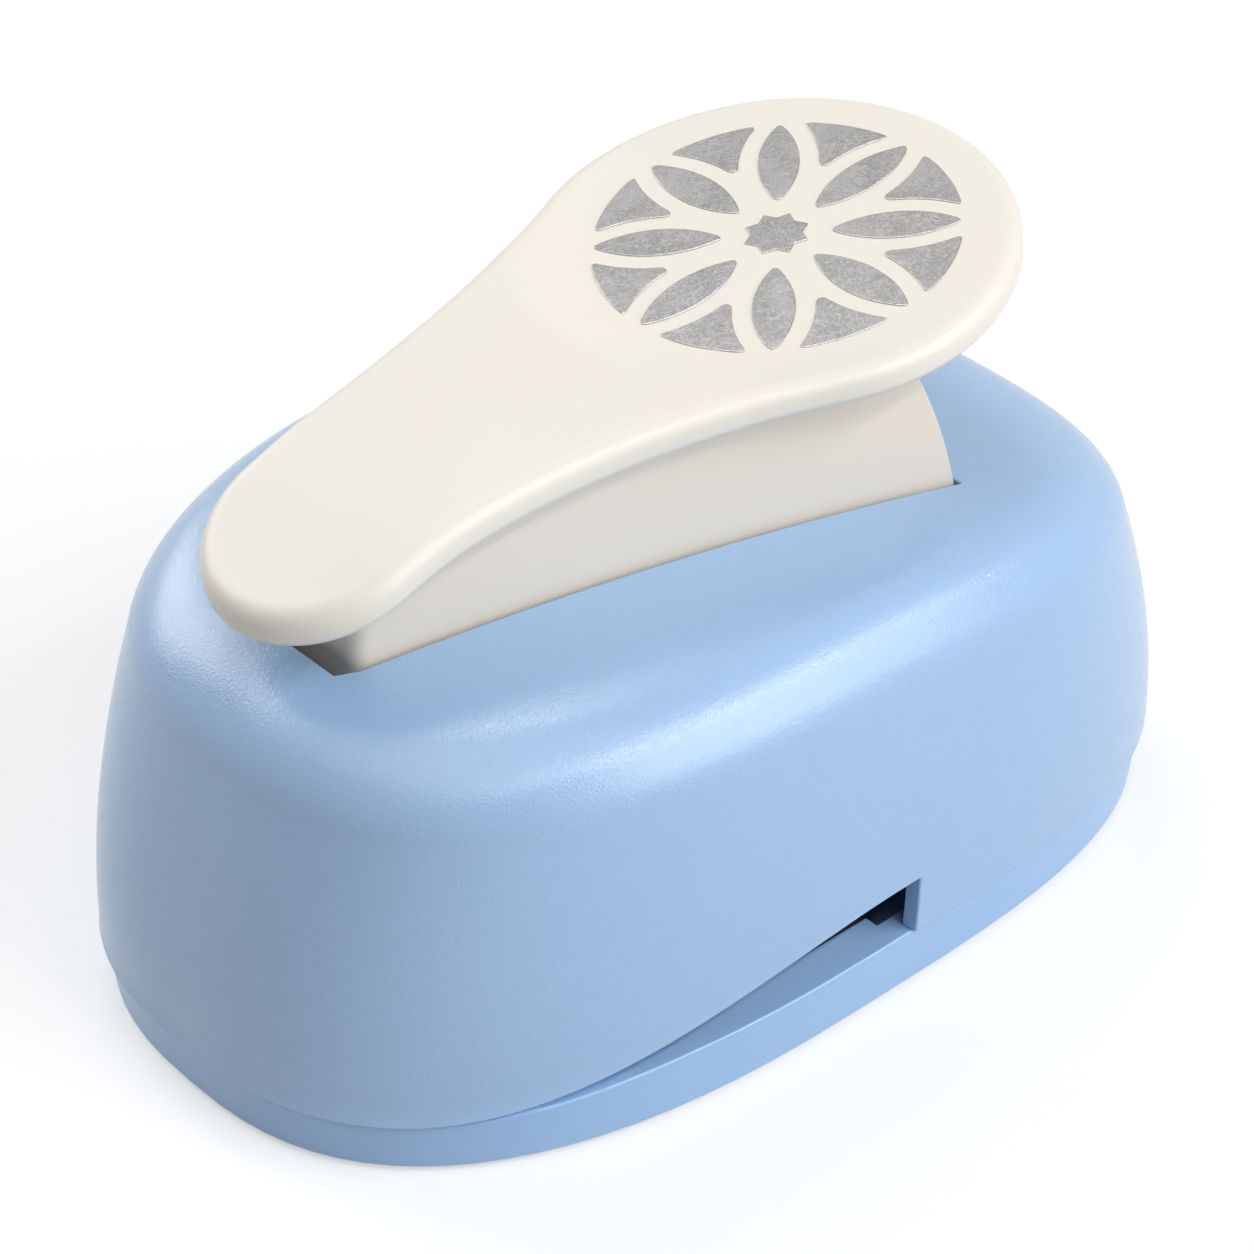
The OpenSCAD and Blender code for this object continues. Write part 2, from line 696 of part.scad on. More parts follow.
module punch_carrier() {
    color(zinc) difference() {
        union() {
            translate([die_x, 0, carrier_z]) linear_extrude(carrier_t) carrier_plan();
            translate([die_x - tower_l / 2, -tower_w / 2, carrier_top - 1])
                cube([tower_l, tower_w, wear_top - wear_t - carrier_top + 1]);
        }
        at_posts() translate([0, 0, carrier_z - 1]) cylinder(r = pocket_r, h = seat_top - carrier_z + 1);
        at_posts() translate([0, 0, carrier_z]) cylinder(r = bush_r + fix_fit, h = 2 * carrier_t);
        for (p = carrier_bolts) translate([die_x + p.x, p.y, 0]) {
            cylinder(r = carrier_bolt_r + fix_fit, h = 2 * carrier_top);
            translate([0, 0, carrier_top - head_sink]) cylinder(r = head_r + 0.3, h = carrier_t);
        }
    }
}

module carrier_bushes() {
    color(brass) at_posts() difference() {
        union() {
            translate([0, 0, seat_top]) cylinder(r = bush_r, h = carrier_top - seat_top);
            translate([0, 0, carrier_top]) cylinder(r = bush_r + 1.2, h = 1);
        }
        cylinder(r = post_d / 2 + run_fit, h = 2 * carrier_top);
    }
}

module punch_block() {
    color(dark_steel) translate([die_x, 0, 0]) difference() {
        union() {
            translate([0, 0, block_z]) cylinder(r = block_r, h = carrier_z - block_z);
            translate([0, 0, tooth_tip]) linear_extrude(block_z - tooth_tip + 0.5) rosette(0);
        }
        for (p = carrier_bolts) translate([p.x, p.y, block_z + 0.8])
            cylinder(r = carrier_bolt_r + fix_fit, h = 2 * carrier_z);
    }
}

module emboss_plate() {
    color(brass) translate([die_x, 0, emboss_z]) difference() {
        union() {
            cylinder(r = emboss_r, h = emboss_t);
            translate([0, 0, -bead_h]) cylinder(r = bead_r + bead_w / 2, h = bead_h + 0.5);
        }
        translate([0, 0, -bead_h - 1]) cylinder(r = bead_r - bead_w / 2, h = bead_h + 1);
        translate([0, 0, -1]) linear_extrude(emboss_t + 2) rosette(tooth_fit);
    }
}

module carrier_screws() {
    color(dark_steel) for (p = carrier_bolts) translate([die_x + p.x, p.y, carrier_top - head_sink])
        socket_screw(head_r, head_h, carrier_bolt_r, carrier_top - head_sink - block_z - 1.2);
}

module wear_plate() {
    color(steel) translate([die_x - tower_l / 2, -tower_w / 2, wear_top - wear_t])
        cube([tower_l, tower_w, wear_t]);
}

// lever
module lever_loft() {
    levels = concat(
        [for (i = [0:2]) let (a = 90 * i / 2)
            [low_round * (1 - sin(a)), plate_low + low_round * (1 - cos(a))]],
        [for (i = [0:5]) let (a = 90 * i / 5)
            [rim_round * (1 - cos(a)), lever_h - rim_round * (1 - sin(a))]]);
    rings = [for (v = levels)
        [for (p = lever_outline(v[0])) let (u = p.x + paddle_u) [u, p.y, v[1] + dish(u, p.y)]]];
    n = len(rings[0]);
    count = len(rings);
    half = n / 2;
    spans = 6;
    rim = rings[count - 1];
    deck = [for (k = [1:half - 1], j = [1:spans - 1])
        let (p = rim[tip_n + k], y = p.y * (1 - 2 * j / spans))
        [p.x, y, lever_h + dish(p.x, y)]];
    polyhedron(points = concat([for (r = rings) each r], deck),
        faces = concat(ring_faces(n, count, 0, true), ladder_faces(n, 0, 0, 1, false),
            ladder_faces(n, (count - 1) * n, count * n, spans, true)));
}

module lever_top() {
    color(ivory) lever_axes() {
        difference() {
            lever_loft();
            intersection() {
                translate([paddle_u, 0, 0]) linear_extrude(lever_h + arch_h)
                    polygon(lever_outline(under_rim));
                below_deck(0);
            }
            translate([rosette_u, 0, lever_h - foil_seat]) linear_extrude(1) rosette(tooth_fit);
        }
        for (p = pegs) translate([p.x, p.y, under(p.x) - peg_l]) cylinder(r = peg_r, h = peg_l + 0.5);
    }
}

module skirt_block(g, xf, rc, r, z) {
    intersection() {
        translate([0, 0, z]) linear_extrude(60) polygon(skirt_plan(xf, g, rc, pivot_x + skirt_r + 2));
        cross_bar(pivot_x, pivot_z, r, 100);
    }
}

module skirt() {
    difference() {
        intersection() {
            skirt_block(0, skirt_front, nose_r, skirt_r, skirt_low);
            lever_axes() below_deck(0);
        }
        intersection() {
            skirt_block(-skirt_t, skirt_front + skirt_t, nose_r - skirt_t, skirt_r - skirt_t, skirt_low - 1);
            lever_axes() below_deck(skirt_t);
        }
    }
}

// catch behind the slot that holds the lever down in the housing
module stop_lip() {
    x1 = pivot_x + skirt_r + 4;
    difference() {
        intersection() {
            translate([10, -skirt_hw(10, -1), skirt_low]) cube([x1, 2 * skirt_hw(10, -1), 2.4]);
            cross_bar(pivot_x, pivot_z, skirt_r + 2.4, 100);
        }
        cross_bar(pivot_x, pivot_z, skirt_r - skirt_t, 110);
    }
}

module cheek() {
    translate([0, cheek_in + cheek_t, 0]) rotate([90, 0, 0]) linear_extrude(cheek_t) {
        translate([pivot_x, pivot_z]) circle(r = hub_r - 0.5);
        translate([die_x, press_z]) circle(r = press_d / 2 + 2);
        polygon([[pivot_x, pivot_z - hub_r + 0.5], [die_x, press_z - press_d / 2 - 2],
            [die_x + press_d / 2 + 2, press_z], [die_x + 9, 64], [pivot_x + 1, 64], [pivot_x - 3, pivot_z]]);
    }
}

module lever_frame() {
    color(ivory) difference() {
        union() {
            skirt();
            stop_lip();
            intersection() {
                mirrored() cheek();
                lever_axes() below_deck(1);
            }
            cross_bar(pivot_x, pivot_z, hub_r, 2 * hub_hw);
            lever_axes() for (p = pegs) translate([p.x, p.y, under(p.x) - peg_l - 1])
                cylinder(r = peg_r + 1.8, h = peg_l);
        }
        lever_axes() for (p = pegs) translate([p.x, p.y, under(p.x) - peg_l - 0.5])
            cylinder(r = peg_r + fix_fit, h = peg_l + 3);
        cross_bar(pivot_x, pivot_z, pivot_d / 2 + 0.4, 60);
        mirrored() translate([pivot_x, hub_hw + 1, pivot_z]) rotate([90, 0, 0])
            cylinder(r = pin_bush_r + fix_fit, h = pin_bush_l + 1.2);
        cross_bar(die_x, press_z, press_d / 2 + fix_fit, 40);
    }
}

module lever_bushes() {
    color(brass) mirrored() difference() {
        union() {
            translate([pivot_x, hub_hw, pivot_z]) rotate([90, 0, 0]) cylinder(r = pin_bush_r, h = pin_bush_l);
            translate([pivot_x, hub_hw + flange_t, pivot_z]) rotate([90, 0, 0])
                cylinder(r = pin_bush_r + 1.2, h = flange_t);
        }
        cross_bar(pivot_x, pivot_z, pivot_d / 2 + run_fit, 60);
    }
}

module press_pin() {
    color(steel) cross_bar(die_x, press_z, press_d / 2, 2 * (cheek_in + cheek_t));
}

module rosette_inlay() {
    color(foil) lever_axes() translate([rosette_u, 0, lever_h - foil_seat])
        linear_extrude(foil_seat + foil_rise) rosette(0);
}

upper_housing();
base_tray();
base_feet();
housing_screws();
die_plate();
throat_spacer();
guide_plate();
die_screws();
guide_posts();
post_clips();
return_springs();
pivot_brackets();
bracket_screws();
pivot_pin();
pin_clips();
punch_carrier();
carrier_bushes();
punch_block();
emboss_plate();
carrier_screws();
wear_plate();
lever_top();
lever_frame();
lever_bushes();
press_pin();
rosette_inlay();
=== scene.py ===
"""Embossing craft punch: the looks of its pieces, a white studio floor, soft light and the camera."""

import json
import math

import bmesh
import bpy
from mathutils import Matrix, Vector


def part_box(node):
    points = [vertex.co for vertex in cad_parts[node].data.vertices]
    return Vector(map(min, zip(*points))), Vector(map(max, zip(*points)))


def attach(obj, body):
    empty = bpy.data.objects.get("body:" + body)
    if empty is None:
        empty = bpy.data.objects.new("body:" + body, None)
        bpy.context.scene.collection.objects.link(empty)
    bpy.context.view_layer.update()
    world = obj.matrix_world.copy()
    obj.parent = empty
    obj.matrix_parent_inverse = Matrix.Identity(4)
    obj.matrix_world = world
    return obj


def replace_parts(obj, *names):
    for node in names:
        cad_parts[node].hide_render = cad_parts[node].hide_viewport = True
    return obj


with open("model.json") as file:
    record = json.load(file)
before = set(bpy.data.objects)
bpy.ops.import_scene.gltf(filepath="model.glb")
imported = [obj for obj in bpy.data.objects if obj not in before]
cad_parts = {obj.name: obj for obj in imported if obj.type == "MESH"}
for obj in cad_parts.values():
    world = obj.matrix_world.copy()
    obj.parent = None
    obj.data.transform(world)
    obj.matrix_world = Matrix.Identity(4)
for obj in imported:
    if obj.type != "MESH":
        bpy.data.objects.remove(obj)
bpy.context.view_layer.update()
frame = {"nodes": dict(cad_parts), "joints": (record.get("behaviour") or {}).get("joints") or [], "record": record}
MM = 0.001

# Housing sizes in millimetres, from the part's source or drawn for the looks alone
BASE_STEP = 0.5
SIDE_BOW = 4.2
BOW_AT = 0.36
base_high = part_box("base_tray")[1] / MM
HALF_LENGTH = base_high.x + BASE_STEP
HALF_WIDTH = base_high.y + BASE_STEP + SIDE_BOW * BOW_AT ** 2
SHELF = base_high.z
LIP_DROP = 1.8
LIP = SHELF - LIP_DROP
FRONT_POWER = 2.55
REAR_POWER = 3.25
TOP = 60.3
TOP_FALL = 0.021
TOP_CROWN = 0.0011
TOP_BOW = 0.57
END_LEAN = 8.3
LEAN_POWER = 1.8
SHOULDER_RADIUS = 11.8
SHOULDER_START = math.radians(10)
SHOULDER_END = math.radians(80)
SHOULDER_TOP = math.radians(88)
WALL = 2.5
SKIN = 0.05  # the visual skin lies a hair inside the solid's box
REAR_COLUMNS = 60
FRONT_COLUMNS = 90
BEND_WEIGHT = 45
TINY = 1e-6
NO_LENGTH = 1e-9

# Edge rounds and flat faces
HOUSING_EDGE = 0.3
BASE_EDGE = 0.35
SKIRT_EDGE = 0.3
JOIN_GAP = 0.002
FLAT_ANGLE = math.radians(0.5)
COPY_SHARP = 30

# Paper mouth
MOUTH_HEIGHT = 9.4
MOUTH_TOP = SHELF + MOUTH_HEIGHT
MOUTH_START = -66
MOUTH_EASE = 0.85
THROAT = 7.2
MOUTH_MARGIN = 2
MOUTH_JOIN = MOUTH_TOP + MOUTH_MARGIN

# Bead on the housing's lower edge, and the base's falling front edge
BEAD_HEIGHT = 0.35
BEAD_TOP = 0.6
BEAD_DEPTH = 0.1
EDGE_LOW = -66
EDGE_HIGH = -25
EDGE_GAP = 0.3
EDGE_REACH = 1
OUTER_SHARE = 0.95

# Lever, about its pivot
PIVOT = Vector(frame["joints"][0]["pos_m"]) / MM
LEVER_TILT = math.radians(10.1)
LEVER_HEIGHT = 30.9
LEVER_TOP = LEVER_HEIGHT - SKIN
PLATE_THICKNESS = 5
PLATE_BOTTOM = LEVER_TOP - PLATE_THICKNESS
POCKET_ROOF = 2.7
POCKET_TOP = LEVER_TOP - POCKET_ROOF
POCKET_RIM = 2.6
ROSETTE_CENTRE = 77.4
ROSETTE_OFFSET = 1
PADDLE_CENTRE = ROSETTE_CENTRE - ROSETTE_OFFSET
PADDLE_RADIUS = 32
TAIL_RADIUS = 15.5
LEVER_LENGTH = 74
WAIST_RADIUS = 150
RIM_ROUND = 2.2
LOWER_ROUND = 1.5
ARCH_HEIGHT = 4.8
ARCH_CENTRE = 14.6
ARCH_FRONT = 34
ARCH_REAR = 77
ARCH_SINK = 2
SEAT_RIM = 0.4
DISH_WIDTH = 10.5
PADDLE_STEPS = 120
WAIST_STEPS = 24
TAIL_STEPS = 60
LOWER_STEPS = 6
RIM_STEPS = 10
DECK_MARGIN = 0.5
DECK_SPANS = 14

# Lever slot in the housing
SLOT_FRONT = -53
SLOT_BEND = -50
SLOT_HALF_MIDDLE = 20.62
SLOT_TAPER = 0.235
SLOT_TUCK = 1.2
SLOT_REAR_RADIUS = 79.3
SLOT_REAR = 33
SLOT_MIDDLE = Vector((-8, 0))

# Foil rosette, its arcs as shares of its radius
ROSETTE_RADIUS = 24
PETALS = 8
PETAL_ARC = 0.619
PETAL_OFFSET = 0.5035
PETAL_MIDDLE = 0.64
HOLLOW_ARC = 0.724
CORNER_ROOT = 0.63
STAR_TIP = 0.185
STAR_NOTCH = 0.14
STAR_CUT = 0.22
FOIL_SEAT = -0.02
FOIL_RISE = 0.15
FOIL_EDGE = 0.1
FOIL_FLAT = 1.5 * FOIL_EDGE
TIP_CUT = 1.1
TIP_LIMIT = 0.4


# Colours and materials

def linear(hex_colour):
    """An sRGB hex colour as linear RGBA."""
    channels = [int(hex_colour[i:i + 2], 16) / 255 for i in (1, 3, 5)]
    return [*(c / 12.92 if c <= 0.04045 else ((c + 0.055) / 1.055) ** 2.4 for c in channels), 1]


def node(tree, kind, inputs=None, **settings):
    """Adds a shader node with its settings; an input is a value or the socket it is linked from."""
    made = tree.nodes.new(kind)
    for name, value in settings.items():
        setattr(made, name, value)
    for key, value in (inputs or {}).items():
        if isinstance(value, bpy.types.NodeSocket):
            tree.links.new(value, made.inputs[key])
        else:
            made.inputs[key].default_value = value
    return made


def blank_material(name):
    """A material without nodes yet, and the coordinates of the piece that wears it."""
    material = bpy.data.materials.new(name)
    material.use_nodes = True
    tree = material.node_tree
    tree.nodes.clear()
    return material, tree, node(tree, "ShaderNodeTexCoord").outputs["Object"]


def per_mm(size):
    """Texture scale at which a pattern repeats about every so many millimetres."""
    return 1 / (size * MM)


def moulded_abs(name, dark, light, roughness, specular, grain_mm, grain_depth_mm):
    """Injection-moulded ABS, or the rubber of the feet. The spark-eroded mould leaves a fine pebble that
    breaks highlights into sparkle, and the melt's flow leaves clouds of hardly different tone. The real
    grain is about a quarter of a millimetre; it is drawn a little coarser so that it shows."""
    material, tree, place = blank_material(name)
    clouds = node(tree, "ShaderNodeTexNoise", {"Vector": place, "Scale": per_mm(30), "Detail": 3})
    tone = node(tree, "ShaderNodeMix",
                {0: clouds.outputs["Fac"], 6: linear(dark), 7: linear(light)}, data_type="RGBA")
    grain = node(tree, "ShaderNodeTexNoise",
                 {"Vector": place, "Scale": per_mm(grain_mm), "Detail": 2, "Roughness": 0.6,
                  "Distortion": 1.2})
    gloss = node(tree, "ShaderNodeMapRange",
                 {"Value": grain.outputs["Fac"], "To Min": roughness - 0.05, "To Max": roughness + 0.05})
    bump = node(tree, "ShaderNodeBump",
                {"Strength": 1, "Distance": grain_depth_mm * MM, "Height": grain.outputs["Fac"]})
    shader = node(tree, "ShaderNodeBsdfPrincipled",
                  {"Base Color": tone.outputs[2], "Roughness": gloss.outputs[0], "IOR": 1.53,
                   "Specular IOR Level": specular, "Normal": bump.outputs["Normal"]})
    node(tree, "ShaderNodeOutputMaterial", {"Surface": shader.outputs[0]})
    return material


def stamped_foil():
    """Aluminium foil die-cut and pressed on. Handling leaves a mesh of hair-fine scratches and a soft
    crinkle, so it mirrors the room as a broken grey sheen. The scratches are drawn coarser than the real
    0.05 mm."""
    material, tree, place = blank_material("stamped_aluminium_foil")
    clouds = node(tree, "ShaderNodeTexNoise",
                  {"Vector": place, "Scale": per_mm(9), "Detail": 4, "Distortion": 1})
    dull = node(tree, "ShaderNodeMix",
                {0: clouds.outputs["Fac"], 6: linear("#8A8987"), 7: linear("#A19F9E")}, data_type="RGBA")
    hairs = node(tree, "ShaderNodeTexNoise",
                 {"Vector": place, "Scale": per_mm(1.6), "Detail": 3, "Roughness": 0.6, "Distortion": 2})
    offset = node(tree, "ShaderNodeMath", {0: hairs.outputs["Fac"], 1: 0.5}, operation="SUBTRACT")
    away = node(tree, "ShaderNodeMath", {0: offset.outputs[0]}, operation="ABSOLUTE")
    scratches = node(tree, "ShaderNodeMapRange",
                     {"Value": away.outputs[0], "From Min": 0, "From Max": 0.05, "To Min": 0.32, "To Max": 0})
    tone = node(tree, "ShaderNodeMix",
                {0: scratches.outputs[0], 6: dull.outputs[2], 7: linear("#C9C9CA")}, data_type="RGBA")
    gloss = node(tree, "ShaderNodeMapRange",
                 {"Value": clouds.outputs["Fac"], "To Min": 0.18, "To Max": 0.34})
    height = node(tree, "ShaderNodeMath",
                  {0: clouds.outputs["Fac"], 1: scratches.outputs[0]}, operation="ADD")
    bump = node(tree, "ShaderNodeBump", {"Strength": 0.5, "Distance": 0.02 * MM, "Height": height.outputs[0]})
    shader = node(tree, "ShaderNodeBsdfPrincipled",
                  {"Base Color": tone.outputs[2], "Metallic": 1, "Roughness": gloss.outputs[0],
                   "Normal": bump.outputs["Normal"]})
    node(tree, "ShaderNodeOutputMaterial", {"Surface": shader.outputs[0]})
    return material


def worked_metal(name, dark, light, roughness, mark_mm, stretch):
    """Bare metal with the marks of its making: grinding, turning or drawing lines along one way, or the dull
    skin of a casting or a plating where the marks are as long as they are wide."""
    material, tree, place = blank_material(name)
    stretched = node(tree, "ShaderNodeMapping", {"Vector": place, "Scale": stretch})
    marks = node(tree, "ShaderNodeTexNoise",
                 {"Vector": stretched.outputs[0], "Scale": per_mm(mark_mm), "Detail": 4, "Roughness": 0.65})
    tone = node(tree, "ShaderNodeMix",
                {0: marks.outputs["Fac"], 6: linear(dark), 7: linear(light)}, data_type="RGBA")
    gloss = node(tree, "ShaderNodeMapRange",
                 {"Value": marks.outputs["Fac"], "To Min": roughness - 0.07, "To Max": roughness + 0.07})
    bump = node(tree, "ShaderNodeBump",
                {"Strength": 0.4, "Distance": 0.02 * MM, "Height": marks.outputs["Fac"]})
    shader = node(tree, "ShaderNodeBsdfPrincipled",
                  {"Base Color": tone.outputs[2], "Metallic": 1, "Roughness": gloss.outputs[0],
                   "Normal": bump.outputs["Normal"]})
    node(tree, "ShaderNodeOutputMaterial", {"Surface": shader.outputs[0]})
    return material


FINISHES = {
    "housing_abs": moulded_abs("spark_eroded_blue_abs", "#9DC0E8", "#A2C5ED", 0.15, 0.75, 0.45, 0.06),
    # Painted shade: the base's blue is a more saturated copy of the housing's blue, standing in for the bluer
    # shade on the base under the lip and on the shelf in the paper mouth.
    "base_abs": moulded_abs("satin_blue_abs_painted_shade", "#9CC3EF", "#A1C8F3", 0.32, 0.7, 0.5, 0.03),
    "lever_abs": moulded_abs("satin_ivory_abs", "#F0EADF", "#F3EEE4", 0.38, 0.5, 0.5, 0.006),
    # Painted shade: the skirt wears a darker, warmer copy of the lever's ivory, standing in for the shade on its
    # sides under the lever and above the blue top.
    "skirt_abs": moulded_abs("ivory_abs_painted_shade", "#EDE2D3", "#F0E6D8", 0.38, 0.5, 0.5, 0.006),
    "rosette_foil": stamped_foil(),
    "plate_steel": worked_metal("ground_tool_steel", "#85878A", "#A9ABAE", 0.36, 0.6, (1, 12, 12)),
    "pin_steel": worked_metal("polished_pin_steel", "#A3A5A8", "#BDBFC2", 0.2, 0.5, (6, 1, 6)),
    "screw_steel": worked_metal("zinc_plated_steel", "#8F939A", "#AEB1B5", 0.3, 0.8, (1, 1, 1)),
    "spring_steel": worked_metal("drawn_spring_wire", "#6F7276", "#8D9094", 0.32, 0.4, (1, 1, 6)),
    "punch_steel": worked_metal("hardened_punch_steel", "#7B7D80", "#96989B", 0.3, 0.6, (8, 8, 1)),
    "carrier_zinc": worked_metal("diecast_zinc", "#8D9093", "#A0A3A6", 0.55, 1.2, (1, 1, 1)),
    "bush_brass": worked_metal("turned_brass", "#B08D4A", "#CBAA63", 0.28, 0.4, (1, 1, 9)),
    "foot_rubber": moulded_abs("moulded_black_rubber", "#232324", "#2B2B2C", 0.75, 0.4, 0.6, 0.02),
}


# Pieces

def make_piece(name, mesh, body, slot, *nodes):
    """Links a mesh as a piece that rides on a body, stands for CAD nodes and has a slot's finish."""
    piece = bpy.data.objects.new(name, mesh)
    bpy.context.scene.collection.objects.link(piece)
    mesh.materials.clear()
    mesh.materials.append(FINISHES[slot])
    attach(piece, body)
    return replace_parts(piece, *nodes)


def smooth_mesh(name, points, faces, sharp=math.radians(35)):
    """A mesh from points in millimetres, shaded smooth but for edges sharper than an angle."""
    built = bmesh.new()
    verts = [built.verts.new(Vector(p) * MM) for p in points]
    for face in faces:
        built.faces.new([verts[i] for i in face])
    bmesh.ops.recalc_face_normals(built, faces=built.faces)
    mesh = bpy.data.meshes.new(name)
    built.to_mesh(mesh)
    built.free()
    mesh.shade_smooth()
    mesh.set_sharp_from_angle(angle=sharp)
    return mesh


def round_edges(piece, radius_mm, angle=40):
    """Breaks a piece's sharp edges with a small radius, as a mould does."""
    bevel = piece.modifiers.new("edge_round", "BEVEL")
    bevel.limit_method = "ANGLE"
    bevel.angle_limit = math.radians(angle)
    bevel.width = radius_mm * MM
    bevel.segments = 3
    bevel.use_clamp_overlap = False
    bevel.harden_normals = True
    return piece


def plan_point(inset_x, inset_y, turn):
    """A point of the housing's rounded plan, fuller at the rear than at the front."""
    c, s = math.cos(turn), math.sin(turn)
    power = 2 / (FRONT_POWER if c < 0 else REAR_POWER)
    return Vector(((HALF_LENGTH - inset_x) * math.copysign(abs(c) ** power, c),
                   (HALF_WIDTH - inset_y) * math.copysign(abs(s) ** power, s)))


def even_turns(start, end, count):
    """Turns between two turns of the plan, spread by length walked and angle turned alike."""
    fine = 600
    turns = [start + (end - start) * i / fine for i in range(fine + 1)]
    places = [plan_point(0, 0, t) for t in turns]
    walked = [0.0]
    for i in range(fine):
        step = places[i + 1] - places[i]
        before = places[i] - places[i - 1] if i else step
        walked.append(walked[-1] + step.length + BEND_WEIGHT * abs(step.angle(before, 0)))
    found = []
    at = 0
    for k in range(count):
        wanted = walked[-1] * k / count
        while walked[at + 1] < wanted:
            at += 1
        share = (wanted - walked[at]) / (walked[at + 1] - walked[at])
        found.append(turns[at] + share * (turns[at + 1] - turns[at]))
    return found


def fall(x):
    """Rise or fall of the housing's top along the body."""
    return -TOP_FALL * x - TOP_CROWN * x * x


def wall_end(inset):
    """Height at which the wall runs into the shoulder."""
    rise = math.sin(SHOULDER_TOP) - math.sin(SHOULDER_START)
    return TOP - inset - (SHOULDER_RADIUS - inset) * rise


def wall_level(inset, z):
    """Insets and height of the wall's leaning profile."""
    share = max(0, z - LIP) / (wall_end(inset) - LIP)
    return inset + END_LEAN * share ** LEAN_POWER, inset + SIDE_BOW * (share - BOW_AT) ** 2, z


def shoulder_level(inset, angle):
    """Insets and height of the shoulder's round."""
    radius = SHOULDER_RADIUS - inset
    curl = radius * (math.cos(SHOULDER_START) - math.cos(angle))
    lift = radius * (math.sin(angle) - math.sin(SHOULDER_START))
    side_in = SIDE_BOW * (1 - BOW_AT) ** 2
    return inset + END_LEAN + curl, inset + side_in + curl, wall_end(inset) + lift


def skin_point(level, turn):
    """The point of the skin at a level of its profile and a turn of its plan."""
    inset_x, inset_y, z = level
    place = plan_point(inset_x, inset_y, turn)
    return Vector((place.x, place.y, z + (z - LIP) / (TOP - LIP) * fall(place.x)))


def top_height(inset, x, y):
    """Height of the bowed top over a point of the plan; at its edge it slopes as the shoulder does."""
    edge_x, edge_y, z = shoulder_level(inset, SHOULDER_END)
    power = FRONT_POWER if x < 0 else REAR_POWER
    half_x, half_y = HALF_LENGTH - edge_x, HALF_WIDTH - edge_y
    lengthwise, across = (abs(x) / half_x) ** power, (abs(y) / half_y) ** power
    share = lengthwise + across
    reach = (half_x * lengthwise + half_y * across) / share
    bend = reach / math.tan(SHOULDER_END) / TOP_BOW
    return z + (z - LIP) / (TOP - LIP) * fall(x) + TOP_BOW * (1 - share ** (bend / power))


def slot_corners(z):
    """The lever slot's corners at a height; its rear wall is round about the pivot."""
    rear = PIVOT.x + math.sqrt(SLOT_REAR_RADIUS ** 2 - (z - PIVOT.z) ** 2)
    side = [Vector((x, SLOT_HALF_MIDDLE + SLOT_TAPER * x)) for x in (rear, SLOT_BEND, SLOT_FRONT)]
    side[2].y -= SLOT_TUCK
    return side + [Vector((p.x, -p.y)) for p in reversed(side)]


def slot_ring(inset, turns):
    """The slot's edge in the top, one point for each column, with one column at each corner."""
    edge = [skin_point(shoulder_level(inset, SHOULDER_END), t) for t in turns]
    corners = slot_corners(top_height(inset, SLOT_REAR, 0))
    ways = [math.atan2(p.y - SLOT_MIDDLE.y, p.x - SLOT_MIDDLE.x) for p in edge]
    marks = [math.atan2(c.y - SLOT_MIDDLE.y, c.x - SLOT_MIDDLE.x) for c in corners]
    ring = []
    for way in ways:
        ray = Vector((math.cos(way), math.sin(way)))
        reach = min(cross_reach(SLOT_MIDDLE, ray, corners[k], corners[k - 1]) for k in range(len(corners)))
        ring.append(SLOT_MIDDLE + ray * reach)
    for corner, mark in zip(corners, marks):
        nearest = min(range(len(ways)), key=lambda i: abs(ways[i] - mark))
        ring[nearest] = corner
    return [Vector((p.x, p.y, top_height(inset, p.x, p.y))) for p in ring]


def cross_reach(start, ray, a, b):
    """How far a ray runs before it crosses the line between two points."""
    side = b - a
    bend = ray.x * side.y - ray.y * side.x
    if abs(bend) < NO_LENGTH:
        return math.inf
    gap = a - start
    reach = (gap.x * side.y - gap.y * side.x) / bend
    along = (gap.x * ray.y - gap.y * ray.x) / bend
    return reach if reach > 0 and -TINY <= along <= 1 + TINY else math.inf


def mouth_edge(x):
    """Lower edge of the housing: level at the front, then rising in an S to the throat."""
    share = min(1, max(0, (x - MOUTH_START) / (THROAT - MOUTH_START))) ** MOUTH_EASE
    return LIP + (MOUTH_TOP - LIP) * (1 - math.cos(math.pi * share)) / 2


def skin_rows(inset, turns, bead=0):
    """Rows of one side of the shell, from its lower edge up and in to the slot. Rows below the mouth's top
    have points only behind the throat; elsewhere a fine bead may follow the lower edge."""
    behind = [plan_point(0, 0, t).x >= THROAT - TINY for t in turns]
    starts = [MOUTH_TOP if b else mouth_edge(plan_point(0, 0, t).x) for b, t in zip(behind, turns)]
    rows = []
    rear_levels = (SHELF, SHELF + 1, SHELF + 3, SHELF + 5, MOUTH_TOP - 1)
    for z in rear_levels:
        rows.append([skin_point(wall_level(inset, z), t) if b else None for b, t in zip(behind, turns)])
    for lift in (0, BEAD_HEIGHT):
        rows.append([skin_point(wall_level(inset, z + lift), t) for z, t in zip(starts, turns)])
    for share in (0, 0.25, 0.5, 0.75, 1):
        rows.append([skin_point(wall_level(inset + (0 if b else bead * (1 - share)),
                                           z + BEAD_TOP + share * (MOUTH_JOIN - BEAD_TOP - z)), t)
                     for b, z, t in zip(behind, starts, turns)])
    steps = 14
    for i in range(1, steps + 1):
        level = wall_level(inset, MOUTH_JOIN + (wall_end(inset) - MOUTH_JOIN) * i / steps)
        rows.append([skin_point(level, t) for t in turns])
    bends = 16
    for i in range(1, bends + 1):
        angle = SHOULDER_START + (SHOULDER_END - SHOULDER_START) * i / bends
        rows.append([skin_point(shoulder_level(inset, angle), t) for t in turns])
    slot = slot_ring(inset, turns)
    edge = rows[-1]
    caps = 9
    for i in range(1, caps + 1):
        row = [e.lerp(s, i / caps) for e, s in zip(edge, slot)]
        rows.append([Vector((p.x, p.y, top_height(inset, p.x, p.y))) for p in row])
    return rows


